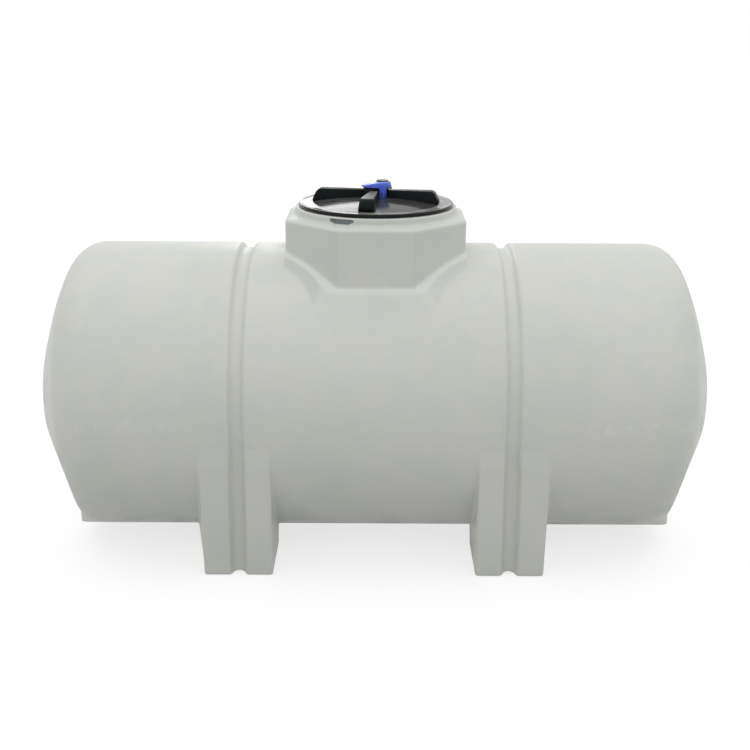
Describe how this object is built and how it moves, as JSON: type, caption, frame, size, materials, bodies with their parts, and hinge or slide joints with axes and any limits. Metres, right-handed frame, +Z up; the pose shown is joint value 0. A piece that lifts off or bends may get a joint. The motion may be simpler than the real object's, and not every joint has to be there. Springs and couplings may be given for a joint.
{
  "type": "horizontal leg tank",
  "caption": "Horizontal moulded plastic tank on legs, with strap grooves, an eight-sided neck and a lift-off manway lid with a cross grip.",
  "frame": {"origin": "centre of the tank's plan, on the ground under its feet", "axes": "+X along the barrel to the right as seen from the front, +Y to the rear, +Z up"},
  "size_m": [1.917, 0.84, 1.0613],
  "materials": {
    "natural_shell": "natural rotomoulded polyethylene, soft satin, faint mottling",
    "black_lid": "glossy black moulded plastic",
    "black_grip": "black moulded plastic with a fine grain",
    "gasket_rubber": "black rubber",
    "blue_clip": "bright blue moulded plastic"
  },
  "bodies": {
    "tank": {"left_end": "natural_shell", "right_end": "natural_shell", "left_drain_boss": "natural_shell", "right_drain_boss": "natural_shell", "left_barrel_upper": "natural_shell", "left_barrel_lower": "natural_shell", "left_groove_upper": "natural_shell", "left_groove_lower": "natural_shell", "middle_barrel_upper": "natural_shell", "middle_barrel_lower": "natural_shell", "right_groove_upper": "natural_shell", "right_groove_lower": "natural_shell", "right_barrel_upper": "natural_shell", "right_barrel_lower": "natural_shell", "front_left_leg": "natural_shell", "front_right_leg": "natural_shell", "rear_left_leg": "natural_shell", "rear_right_leg": "natural_shell", "front_neck_base": "natural_shell", "rear_neck_base": "natural_shell", "neck_wall": "natural_shell", "neck_shoulder": "natural_shell", "manway_lip": "natural_shell"},
    "lid": {"lid_gasket": "gasket_rubber", "lid_plug": "black_lid", "lid_disc": "black_lid", "lid_rim": "black_lid", "left_grip": "black_grip", "right_grip": "black_grip", "front_grip": "black_grip", "rear_grip": "black_grip", "grip_hub": "black_grip", "vent_cap": "black_grip", "vent_clip": "blue_clip"}
  },
  "joints": [
    {"name": "lid_lift", "type": "slide", "parent": "tank", "child": "lid", "axis": [0, 0, 1], "range_m": [0, 0.3]}
  ]
}
